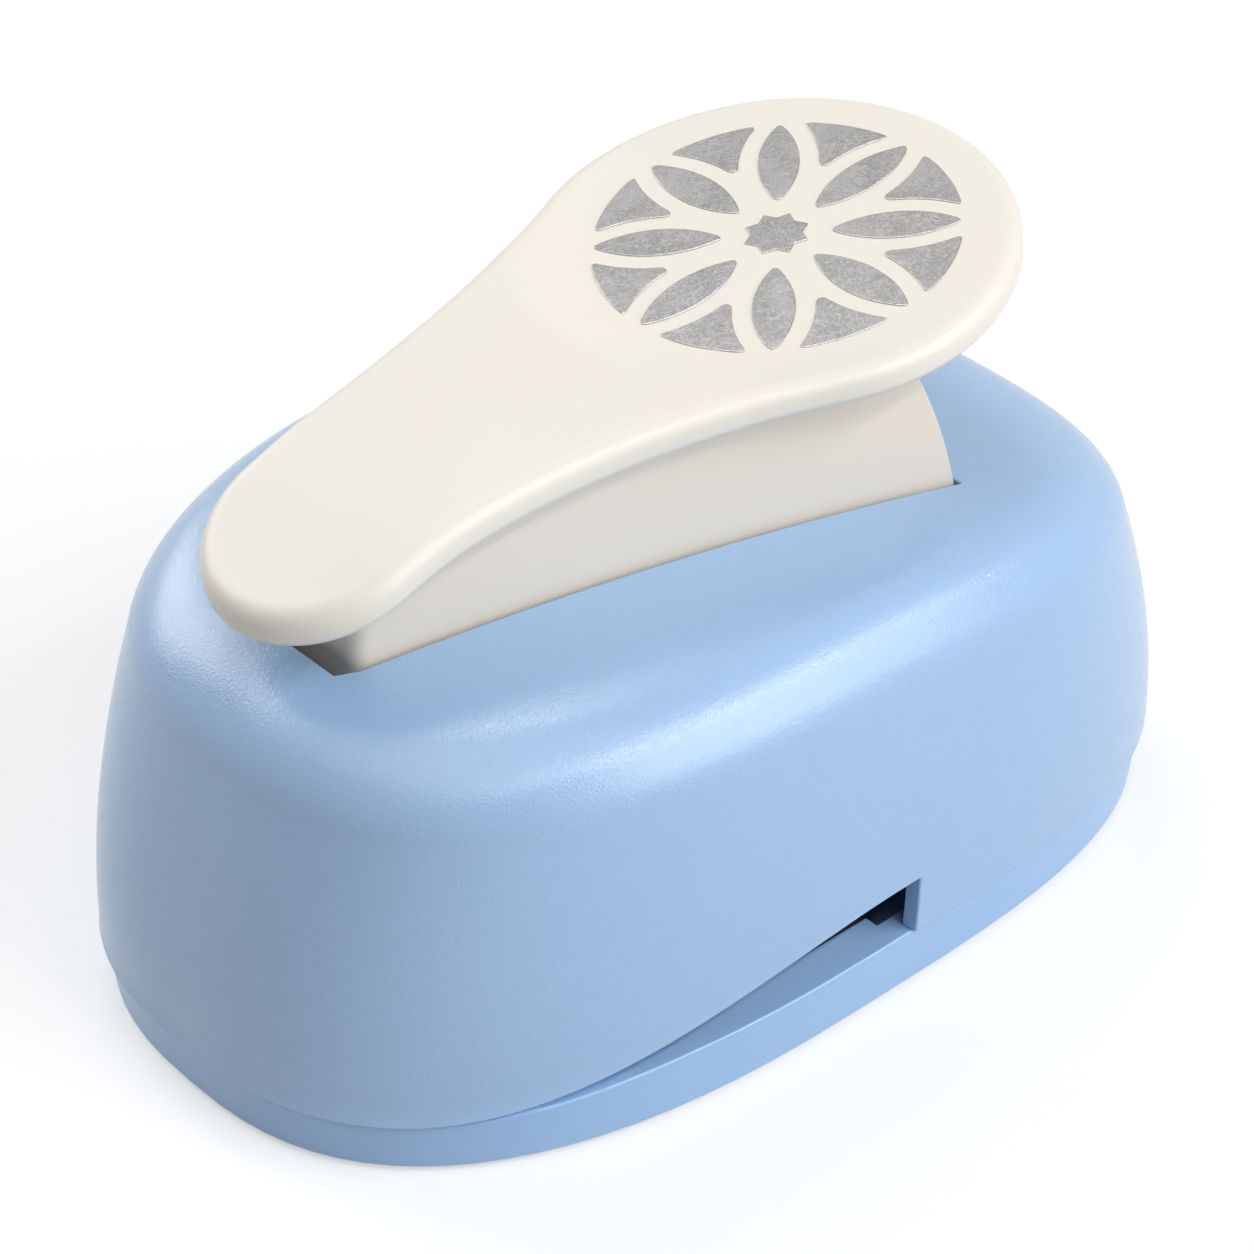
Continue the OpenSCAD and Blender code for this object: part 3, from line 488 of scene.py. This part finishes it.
def moulded_housing():
    """The upper shell: leaning walls, round shoulders, bowed top with the lever slot, and the paper mouth."""
    throat_turn = math.acos((THROAT / HALF_LENGTH) ** (REAR_POWER / 2))
    half = even_turns(0, throat_turn, REAR_COLUMNS) + even_turns(throat_turn, math.pi, FRONT_COLUMNS)
    turns = half + [math.pi] + [2 * math.pi - t for t in reversed(half[1:])]
    outer = skin_rows(SKIN, turns, BEAD_DEPTH)
    inner = skin_rows(WALL, turns)
    rows = outer + inner[::-1]
    points, table = [], []
    for row in rows:
        table.append([None if p is None else len(points) + sum(q is not None for q in row[:i])
                      for i, p in enumerate(row)])
        points.extend(p for p in row if p is not None)
    columns = len(turns)
    pairs = [(r, r + 1) for r in range(len(rows) - 1)]
    low_rows = sum(row[columns // 2] is None for row in outer)
    rims = [(low_rows, len(rows) - 1 - low_rows), (0, len(rows) - 1)]
    faces = []
    for a, b in pairs + rims:
        for c in range(columns):
            d = (c + 1) % columns
            corners = [table[a][c], table[a][d], table[b][d], table[b][c]]
            fronts = None in (table[0][c], table[0][d])
            if None in corners or ((a, b) == rims[0] and not fronts):
                continue
            faces.append(corners)
    for c in range(columns):
        if table[0][c] is not None and None in (table[0][c - 1], table[0][(c + 1) % columns]):
            last = len(rows) - 1
            for r in range(low_rows):
                faces.append([table[r][c], table[r + 1][c], table[last - r - 1][c], table[last - r][c]])
    mesh = smooth_mesh("moulded_housing", points, faces)
    piece = make_piece("moulded_housing", mesh, "housing", "housing_abs", "upper_housing")
    return round_edges(piece, HOUSING_EDGE)


def lower_front_edge(verts):
    """Lets the base's outer edge fall towards the front, so that the gap under the housing's lip shows."""
    for vert in verts:
        x, y, z = vert.co / MM
        share = (abs(x) / HALF_LENGTH) ** FRONT_POWER + (abs(y) / HALF_WIDTH) ** FRONT_POWER
        if x < EDGE_HIGH and z > LIP - EDGE_REACH and share > OUTER_SHARE:
            rise = ease((x - EDGE_LOW) / (EDGE_HIGH - EDGE_LOW))
            edge = LIP - EDGE_GAP + (SHELF - LIP + EDGE_GAP) * rise
            vert.co.z = min(z, edge) * MM


def softened_copy(name, cad_node, body, slot, radius_mm):
    """A CAD node's own shape with its points and flat faces joined and its sharp edges rounded."""
    built = bmesh.new()
    built.from_mesh(frame["nodes"][cad_node].data)
    bmesh.ops.remove_doubles(built, verts=built.verts, dist=JOIN_GAP * MM)
    if cad_node == "base_tray":
        lower_front_edge(built.verts)
    bmesh.ops.dissolve_limit(built, angle_limit=FLAT_ANGLE, verts=built.verts, edges=built.edges)
    mesh = bpy.data.meshes.new(name)
    built.to_mesh(mesh)
    built.free()
    mesh.shade_smooth()
    mesh.set_sharp_from_angle(angle=math.radians(COPY_SHARP))
    piece = make_piece(name, mesh, body, slot, cad_node)
    return round_edges(piece, radius_mm, COPY_SHARP)


def arc_points(centre, radius, start, end, count):
    """Points on an arc, both ends among them."""
    turns = [start + (end - start) * i / count for i in range(count + 1)]
    return [Vector((centre[0] + radius * math.cos(t), centre[1] + radius * math.sin(t))) for t in turns]


def spoon_outline(inset):
    """The lever's plan about its paddle's centre: paddle, hollow waist and narrow tail."""
    big, small = PADDLE_RADIUS + WAIST_RADIUS, TAIL_RADIUS + WAIST_RADIUS
    waist_x = -(big ** 2 - small ** 2 + LEVER_LENGTH ** 2) / (2 * LEVER_LENGTH)
    waist_y = math.sqrt(big ** 2 - waist_x ** 2)
    at_paddle = math.atan2(waist_y, waist_x)
    at_tail = math.atan2(waist_y, waist_x + LEVER_LENGTH)
    hollow = WAIST_RADIUS + inset
    paddle = arc_points((0, 0), PADDLE_RADIUS - inset, -at_paddle, at_paddle, PADDLE_STEPS)
    left = arc_points((waist_x, waist_y), hollow, at_paddle + math.pi, at_tail + math.pi, WAIST_STEPS)
    tail = arc_points((-LEVER_LENGTH, 0), TAIL_RADIUS - inset, at_tail, 2 * math.pi - at_tail, TAIL_STEPS)
    right = arc_points((waist_x, -waist_y), hollow, math.pi - at_tail, math.pi - at_paddle, WAIST_STEPS)
    return paddle + left[1:-1] + tail + right[1:-1]


def lever_matrix():
    """From the lever's own axes, in millimetres about its pivot, to the body's."""
    return Matrix.Translation(PIVOT) @ Matrix.Rotation(-LEVER_TILT, 4, "Y")


def ease(share):
    """A soft step from 0 to 1."""
    kept = min(1, max(0, share))
    return kept * kept * (3 - 2 * kept)


def arch(u):
    """Rise of the neck's arch along the lever."""
    reach = ARCH_FRONT if u < ARCH_CENTRE else ARCH_REAR
    return ARCH_HEIGHT * (1 + math.cos(math.pi * min(1, abs(u - ARCH_CENTRE) / reach))) / 2


def dish(u, v):
    """The arch's rise at a point of the lever; the rosette's seat stays flat."""
    reach = math.hypot(u - ROSETTE_CENTRE, v) - ROSETTE_RADIUS - SEAT_RIM
    return arch(u) * ease(reach / DISH_WIDTH)


def cross_rows(count, ring, inner, spans):
    """Rows of point numbers across a mirrored ring, from the paddle's tip to the tail's."""
    tip = PADDLE_STEPS // 2
    rows = [[ring + tip]]
    for k in range(1, count // 2):
        between = [inner + (k - 1) * (spans - 1) + j for j in range(spans - 1)]
        rows.append([ring + tip + k, *between, ring + (tip - k) % count])
    return rows + [[ring + tip + count // 2]]


def bridged(rows):
    """Faces between rows of point numbers; a row of one point ends in a fan."""
    faces = []
    for one, two in zip(rows, rows[1:]):
        for j in range(max(len(one), len(two)) - 1):
            corners = [one[min(j, len(one) - 1)], one[min(j + 1, len(one) - 1)],
                       two[min(j + 1, len(two) - 1)], two[min(j, len(two) - 1)]]
            faces.append(list(dict.fromkeys(corners)))
    return faces


def palm_lever():
    """The lever's spoon-shaped plate: arched neck, rounded rim, flat seat for the rosette, and a shallow
    pocket under it for the skirt."""
    levels = [(POCKET_RIM, PLATE_BOTTOM)]
    for i in range(LOWER_STEPS + 1):
        a = math.pi / 2 * i / LOWER_STEPS
        levels.append((LOWER_ROUND * (1 - math.sin(a)), PLATE_BOTTOM + LOWER_ROUND * (1 - math.cos(a))))
    for i in range(RIM_STEPS + 1):
        a = math.pi / 2 * i / RIM_STEPS
        levels.append((RIM_ROUND * (1 - math.cos(a)), LEVER_TOP - RIM_ROUND * (1 - math.sin(a))))
    levels.append((RIM_ROUND + DECK_MARGIN, LEVER_TOP))
    pocket = [Vector((p.x + PADDLE_CENTRE, p.y, 0)) for p in spoon_outline(POCKET_RIM)]
    flat = [Vector((p.x, p.y, POCKET_TOP + max(0, arch(p.x) - ARCH_SINK))) for p in pocket]
    for inset, height in levels:
        ring = [Vector((p.x + PADDLE_CENTRE, p.y)) for p in spoon_outline(inset)]
        flat += [Vector((p.x, p.y, height + dish(p.x, p.y))) for p in ring]
    count = len(pocket)
    rim = flat[-count:]
    deck = len(flat)
    tip = PADDLE_STEPS // 2
    for k in range(1, count // 2):
        edge = rim[tip + k]
        for j in range(1, DECK_SPANS):
            v = edge.y * (1 - 2 * j / DECK_SPANS)
            flat.append(Vector((edge.x, v, LEVER_TOP + dish(edge.x, v))))
    faces = bridged(cross_rows(count, 0, 0, 1)) + bridged(cross_rows(count, deck - count, deck, DECK_SPANS))
    for row in range(len(levels)):
        for i in range(count):
            a, b = row * count + i, row * count + (i + 1) % count
            faces.append([a, b, b + count, a + count])
    place = lever_matrix()
    mesh = smooth_mesh("palm_lever", [place @ p for p in flat], faces)
    return make_piece("palm_lever", mesh, "lever", "lever_abs", "lever_top")


def softened_loop(sides, cut, bend_steps=6):
    """A closed outline of joined lines of points, with each corner replaced by a round of about the cut."""
    loop = []
    trimmed = [shortened(side, cut) for side in sides]
    for k, side in enumerate(trimmed):
        corner, follower = sides[k][-1], trimmed[(k + 1) % len(sides)]
        loop += side
        for i in range(1, bend_steps):
            t = i / bend_steps
            loop.append(side[-1] * (1 - t) ** 2 + corner * 2 * t * (1 - t) + follower[0] * t ** 2)
    return loop


def shortened(line, cut):
    """A line of points with a length cut off both ends."""
    lengths = [0.0]
    for a, b in zip(line, line[1:]):
        lengths.append(lengths[-1] + (b - a).length)
    cut = min(cut, TIP_LIMIT * lengths[-1])
    kept = [p for p, at in zip(line, lengths) if cut < at < lengths[-1] - cut]
    return [along(line, lengths, cut), *kept, along(line, lengths, lengths[-1] - cut)]


def along(line, lengths, distance):
    """The point a distance along a line of points."""
    k = next(i for i in range(1, len(line)) if lengths[i] >= distance - NO_LENGTH)
    return line[k - 1].lerp(line[k], (distance - lengths[k - 1]) / (lengths[k] - lengths[k - 1]))


def petal_outline():
    """One pointed petal between two arcs, along X."""
    r = ROSETTE_RADIUS
    radius, offset, centre = PETAL_ARC * r, PETAL_OFFSET * r, PETAL_MIDDLE * r
    half = math.acos(offset / radius)
    upper = arc_points((centre, -offset), radius, math.pi / 2 - half, math.pi / 2 + half, 30)
    lower = arc_points((centre, offset), radius, -math.pi / 2 - half, -math.pi / 2 + half, 30)
    return softened_loop([upper, lower], TIP_CUT)


def circle_crossing(centre_a, radius_a, centre_b, radius_b, side):
    """One of the two points in which two circles cross."""
    gap = centre_b - centre_a
    reach = (radius_a ** 2 - radius_b ** 2 + gap.length_squared) / (2 * gap.length)
    rise = math.sqrt(radius_a ** 2 - reach ** 2)
    way = gap.normalized()
    return centre_a + way * reach + Vector((-way.y, way.x)) * rise * side


def corner_outline():
    """One three-sided piece between two petals and the rosette's edge, along X."""
    r = ROSETTE_RADIUS
    turn = math.pi / PETALS
    hollow = Matrix.Rotation(turn, 2) @ Vector((PETAL_MIDDLE * r, PETAL_OFFSET * r))
    hollow_radius = HOLLOW_ARC * r
    rim = circle_crossing(Vector((0, 0)), r, hollow, hollow_radius, -1)
    root = circle_crossing(Vector((0, 0)), CORNER_ROOT * r, hollow, hollow_radius, -1)
    from_root = math.atan2(*(root - hollow).yx)
    to_rim = math.atan2(*(rim - hollow).yx)
    upper = arc_points(hollow, hollow_radius, from_root, to_rim, 24)
    lower = [Vector((p.x, -p.y)) for p in reversed(upper)]
    rim_turn, root_turn = math.atan2(rim.y, rim.x), math.atan2(root.y, root.x)
    edge = arc_points((0, 0), r, rim_turn, -rim_turn, 24)
    inner = arc_points((0, 0), CORNER_ROOT * r, -root_turn, root_turn, 4)
    return softened_loop([upper, edge, lower, inner], TIP_CUT)


def star_outline():
    """The eight-pointed star in the middle."""
    r = ROSETTE_RADIUS
    tips = []
    for k in range(2 * PETALS):
        turn = k * math.pi / PETALS
        reach = STAR_TIP if k % 2 else STAR_NOTCH
        tips.append(Vector((math.cos(turn), math.sin(turn))) * r * reach)
    return softened_loop([[a, b] for a, b in zip(tips, tips[1:] + tips[:1])], STAR_CUT)


def drawn_in(loop, distance):
    """A closed outline moved in towards its inside by a distance."""
    area = sum(a.x * b.y - a.y * b.x for a, b in zip(loop, loop[1:] + loop[:1]))
    turn = math.copysign(1, area)
    moved = []
    for before, here, after in zip(loop[-1:] + loop[:-1], loop, loop[1:] + loop[:1]):
        way = ((here - before).normalized() + (after - here).normalized()).normalized()
        moved.append(here + Vector((-way.y, way.x)) * turn * distance)
    return moved


def foil_rosette():
    """Die-cut foil pieces laid in the paddle: petals, corner pieces and a star, edges pressed round."""
    outlines = [star_outline()]
    for k in range(PETALS):
        turn = Matrix.Rotation(k * 2 * math.pi / PETALS, 2)
        half_turn = Matrix.Rotation((k + 0.5) * 2 * math.pi / PETALS, 2)
        outlines.append([turn @ p for p in petal_outline()])
        outlines.append([half_turn @ p for p in corner_outline()])
    levels = [(0, FOIL_SEAT), (0, FOIL_RISE - FOIL_EDGE)]
    for a in (math.pi / 6, math.pi / 3, math.pi / 2):
        levels.append((FOIL_EDGE * (1 - math.cos(a)), FOIL_RISE - FOIL_EDGE * (1 - math.sin(a))))
    levels.append((FOIL_FLAT, FOIL_RISE))
    place = lever_matrix()
    points, faces = [], []
    for loop in outlines:
        first, count = len(points), len(loop)
        for inset, height in levels:
            points += [place @ Vector((p.x + ROSETTE_CENTRE, p.y, LEVER_TOP + height))
                       for p in drawn_in(loop, inset)]
        for row in range(len(levels) - 1):
            for i in range(count):
                a, b = first + row * count + i, first + row * count + (i + 1) % count
                faces.append([a, b, b + count, a + count])
        faces.append(list(range(first, first + count)))
        faces.append(list(range(len(points) - count, len(points))))
    mesh = smooth_mesh("foil_rosette", points, faces, math.radians(20))
    return make_piece("foil_rosette", mesh, "lever", "rosette_foil", "rosette_inlay")


moulded_housing()
softened_copy("base", "base_tray", "housing", "base_abs", BASE_EDGE)
skirt = softened_copy("lever_skirt", "lever_frame", "lever", "lever_abs", SKIRT_EDGE)
# The skirt gets the darker ivory copy: painted shade.
skirt.data.materials[0] = FINISHES["skirt_abs"]
palm_lever()
foil_rosette()

for row in frame["record"]["subparts"]:
    carried = frame["nodes"][row["node"]].data
    carried.materials.clear()
    carried.materials.append(FINISHES[row["material_slot"]])


# Floor, light and camera, in metres
FLOOR_SIZE = 6
CARD_LIFT = 0.5
CARD_WHITE = "#C8C8C8"
ROOM_LIGHT = 0
AIM = Vector((0, 0, 0.0375))
IMAGE_PIXELS = 1254
FOCAL_PIXELS = 3800
CAMERA_AZIMUTH = -41.7
CAMERA_ELEVATION = 35.85
CAMERA_DISTANCE = 0.5004
CAMERA_SHIFT = (0.001, -0.0059)
SENSOR_MM = 36
CLIP = (0.01, 20)


def seen_directly(tree):
    """1 for rays from the camera, in gloss or through clear pieces, 0 for rays that only light."""
    path = node(tree, "ShaderNodeLightPath").outputs
    seen = node(tree, "ShaderNodeMath",
                {0: path["Is Camera Ray"], 1: path["Is Glossy Ray"]}, operation="MAXIMUM")
    through = node(tree, "ShaderNodeMath",
                   {0: seen.outputs[0], 1: path["Is Transmission Ray"]}, operation="MAXIMUM")
    return through.outputs[0]


def white_card():
    """White studio card: matt, brighter where it is seen so that it fades to white, clear from below."""
    material, tree, place = blank_material("matt_white_card")
    fibres = node(tree, "ShaderNodeTexNoise", {"Vector": place, "Scale": per_mm(1.5), "Detail": 3})
    bump = node(tree, "ShaderNodeBump",
                {"Strength": 0.1, "Distance": 0.02 * MM, "Height": fibres.outputs["Fac"]})
    lift = node(tree, "ShaderNodeMath", {0: seen_directly(tree), 1: CARD_LIFT}, operation="MULTIPLY")
    shader = node(tree, "ShaderNodeBsdfPrincipled",
                  {"Base Color": linear(CARD_WHITE), "Roughness": 0.9, "Specular IOR Level": 0,
                   "Normal": bump.outputs["Normal"], "Emission Color": (1, 1, 1, 1),
                   "Emission Strength": lift.outputs[0]})
    clear = node(tree, "ShaderNodeBsdfTransparent")
    below = node(tree, "ShaderNodeNewGeometry").outputs["Backfacing"]
    mixed = node(tree, "ShaderNodeMixShader", {0: below, 1: shader.outputs[0], 2: clear.outputs[0]})
    node(tree, "ShaderNodeOutputMaterial", {"Surface": mixed.outputs[0]})
    return material


def studio_floor():
    """The card that the punch stands on."""
    half = FLOOR_SIZE / 2
    mesh = bpy.data.meshes.new("floor")
    corners = [(-half, -half, 0), (half, -half, 0), (half, half, 0), (-half, half, 0)]
    mesh.from_pydata(corners, [], [(0, 1, 2, 3)])
    mesh.materials.append(white_card())
    floor = bpy.data.objects.new("floor", mesh)
    bpy.context.scene.collection.objects.link(floor)


def studio_world():
    """An even room that is seen as white but lights nothing."""
    world = bpy.data.worlds.new("studio_room")
    bpy.context.scene.world = world
    world.use_nodes = True
    tree = world.node_tree
    strength = node(tree, "ShaderNodeMapRange",
                    {"Value": seen_directly(tree), "To Min": ROOM_LIGHT, "To Max": 1.0})
    background = tree.nodes["Background"]
    background.inputs["Color"].default_value = (1, 1, 1, 1)
    tree.links.new(strength.outputs[0], background.inputs["Strength"])


def softbox(name, way, distance, width, height, power):
    """A soft light that looks at the middle of the punch, with its width along the body."""
    lamp = bpy.data.lights.new(name, "AREA")
    lamp.shape = "RECTANGLE"
    lamp.size, lamp.size_y = width, height
    lamp.energy = power
    light = bpy.data.objects.new(name, lamp)
    bpy.context.scene.collection.objects.link(light)
    back = Vector(way).normalized()
    side = Vector((1, 0, 0))
    side = (side - back * side.dot(back)).normalized()
    turned = Matrix((side, back.cross(side), back)).transposed().to_4x4()
    light.matrix_world = Matrix.Translation(AIM + back * distance) @ turned


def photo_camera():
    """The camera at the photograph's angle; its lens is worked out for a square frame."""
    data = bpy.data.cameras.new("photo_camera")
    data.sensor_width = SENSOR_MM
    data.lens = data.sensor_width * FOCAL_PIXELS / IMAGE_PIXELS
    data.shift_x, data.shift_y = CAMERA_SHIFT
    data.clip_start, data.clip_end = CLIP
    camera = bpy.data.objects.new("photo_camera", data)
    bpy.context.scene.collection.objects.link(camera)
    around, up = math.radians(CAMERA_AZIMUTH), math.radians(CAMERA_ELEVATION)
    back = Vector((math.sin(around) * math.cos(up), -math.cos(around) * math.cos(up), math.sin(up)))
    camera.location = AIM + back * CAMERA_DISTANCE
    camera.rotation_euler = (-back).to_track_quat("-Z", "Y").to_euler()
    bpy.context.scene.camera = camera


studio_floor()
studio_world()
softbox("shoulder_strip", (0.15, -0.6, 0.78), 1.2, 1.9, 0.06, 4)
softbox("near_light", (0.3, -0.82, 0.48), 1.4, 1.2, 1.2, 14.4)
softbox("front_top_light", (-0.3, -0.1, 0.95), 1.4, 1.4, 1.4, 6.2)
softbox("far_light", (-0.12, 0.87, 0.48), 1.4, 0.9, 0.9, 9)
softbox("foil_light", (0.2, 0.42, 0.885), 1.3, 0.4, 0.4, 2)
photo_camera()

bpy.context.scene.view_settings.view_transform = "Standard"
